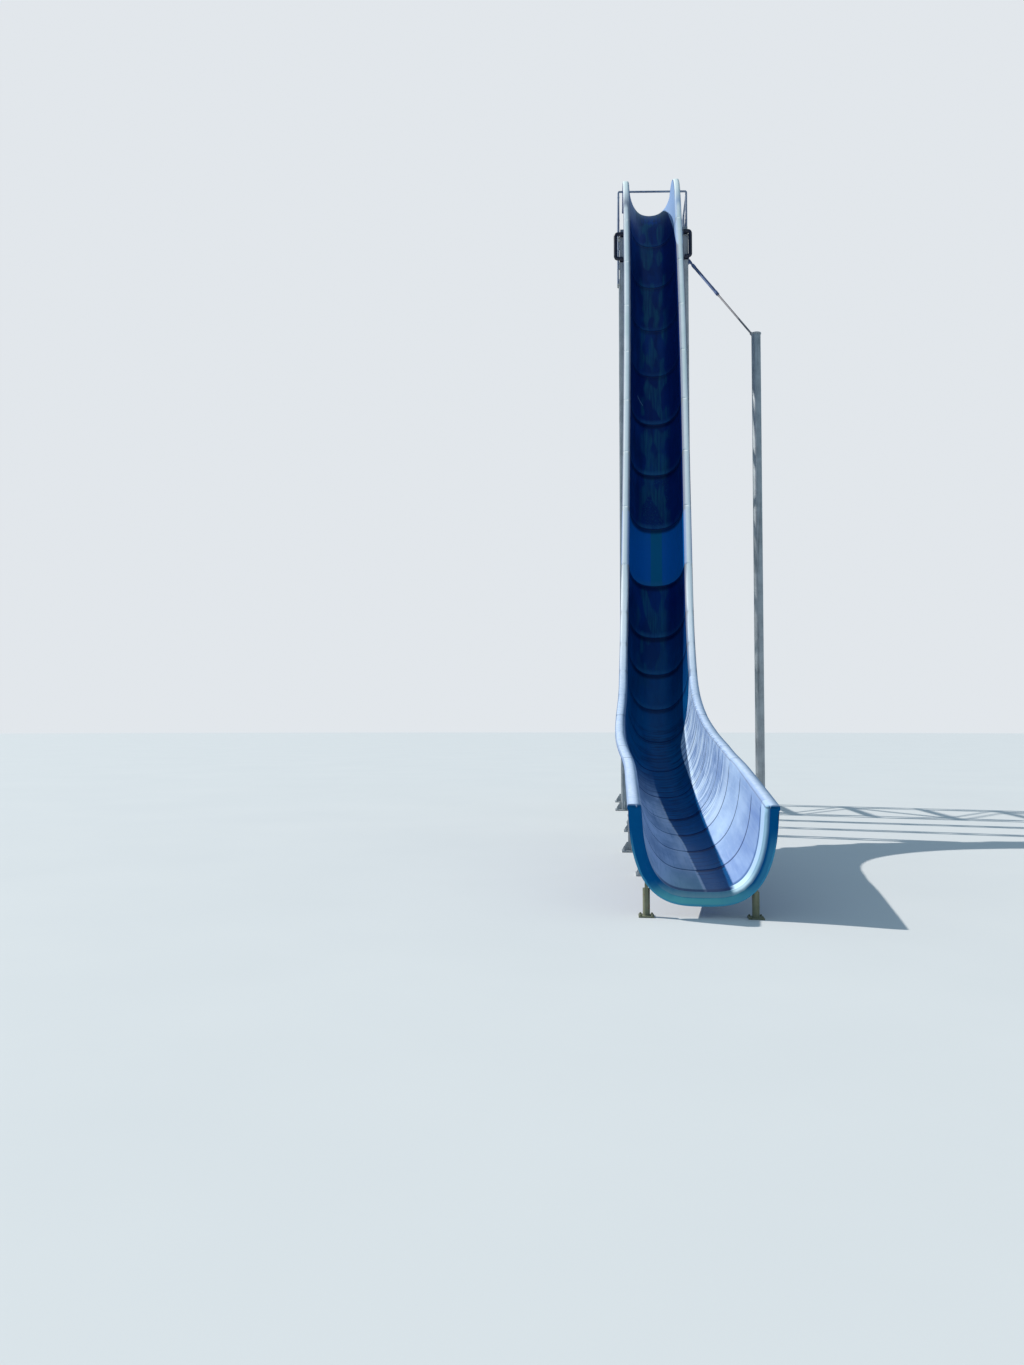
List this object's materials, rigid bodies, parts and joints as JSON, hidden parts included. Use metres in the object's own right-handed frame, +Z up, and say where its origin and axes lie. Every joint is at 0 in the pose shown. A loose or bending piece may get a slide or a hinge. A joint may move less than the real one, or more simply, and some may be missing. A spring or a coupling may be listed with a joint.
{
  "type": "water slide tower",
  "caption": "Tall blue laminate speed slide with a very steep drop, a flared run-out and a steel start tower with start bar, deck, guard rails and a side stay",
  "frame": {"origin": "middle of the footprint, on the ground line", "axes": "+Z up, +Y from the exit of the slide to the start tower, +X to the right seen from the exit"},
  "size_m": [2.9104, 14.2098, 13.126],
  "materials": {
    "blue_laminate": "weathered gelcoat, chalky on the lips",
    "galvanised_steel": "dull galvanised",
    "weathered_posts": "stained galvanised",
    "deck_steel": "dull galvanised",
    "dark_paint": "semi-gloss",
    "rail_steel": "dull galvanised"
  },
  "bodies": {
    "root": {"exit_section": "blue_laminate", "runout_section_1": "blue_laminate", "runout_section_2": "blue_laminate", "curve_section_1": "blue_laminate", "curve_section_2": "blue_laminate", "curve_section_3": "blue_laminate", "curve_section_4": "blue_laminate", "curve_section_5": "blue_laminate", "curve_section_6": "blue_laminate", "curve_section_7": "blue_laminate", "curve_section_8": "blue_laminate", "steep_section_1": "blue_laminate", "steep_section_2": "blue_laminate", "steep_section_3": "blue_laminate", "steep_section_4": "blue_laminate", "steep_section_5": "blue_laminate", "steep_section_6": "blue_laminate", "steep_section_7": "blue_laminate", "crest_section": "blue_laminate", "start_tub": "blue_laminate", "runout_frame": "galvanised_steel", "curve_frame": "galvanised_steel", "low_frame": "galvanised_steel", "middle_frame": "galvanised_steel", "high_frame": "galvanised_steel", "front_left_column": "galvanised_steel", "front_right_column": "galvanised_steel", "rear_left_column": "galvanised_steel", "rear_right_column": "galvanised_steel", "left_side_bracing": "galvanised_steel", "right_side_bracing": "galvanised_steel", "front_bracing": "galvanised_steel", "rear_bracing": "galvanised_steel", "platform_frame": "galvanised_steel", "stay_post": "galvanised_steel", "left_exit_post": "weathered_posts", "right_exit_post": "weathered_posts", "platform_deck": "deck_steel", "left_deck_bracket": "dark_paint", "right_deck_bracket": "dark_paint", "start_bar": "rail_steel", "left_side_rail": "rail_steel", "right_side_rail": "rail_steel", "stay_turnbuckle": "rail_steel", "stay_rod": "rail_steel"}
  },
  "joints": []
}
